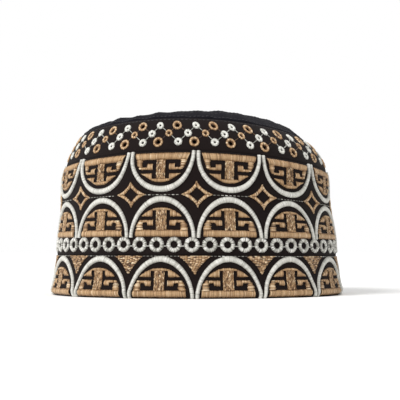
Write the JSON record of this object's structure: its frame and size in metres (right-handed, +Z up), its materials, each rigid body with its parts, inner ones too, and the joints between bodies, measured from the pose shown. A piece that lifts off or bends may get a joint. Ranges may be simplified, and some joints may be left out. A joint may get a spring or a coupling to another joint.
{
  "type": "embroidered omani cap",
  "caption": "Round brimless cap with upright embroidered bands of arches and rings, a pierced sloping eyelet band and a soft flat crown.",
  "frame": {"origin": "middle of the cap's outline on the surface that it stands on, at the height of the rim", "axes": "+Z up, from the rim to the crown; -Y to the front; X from ear to ear, the cap's longest side"},
  "size_m": [0.1956, 0.1696, 0.1173],
  "materials": {
    "lower_band": "black cotton mostly covered by tan and silver-white satin stitches",
    "side_band": "black cotton with tan and silver-white satin stitches",
    "eyelet_band": "black cotton with worked eyelets",
    "crown_panel": "plain dark grey-black cotton"
  },
  "bodies": {
    "root": {"lower_band": "lower_band", "side_band": "side_band", "eyelet_band": "eyelet_band", "crown_panel": "crown_panel"}
  },
  "joints": []
}
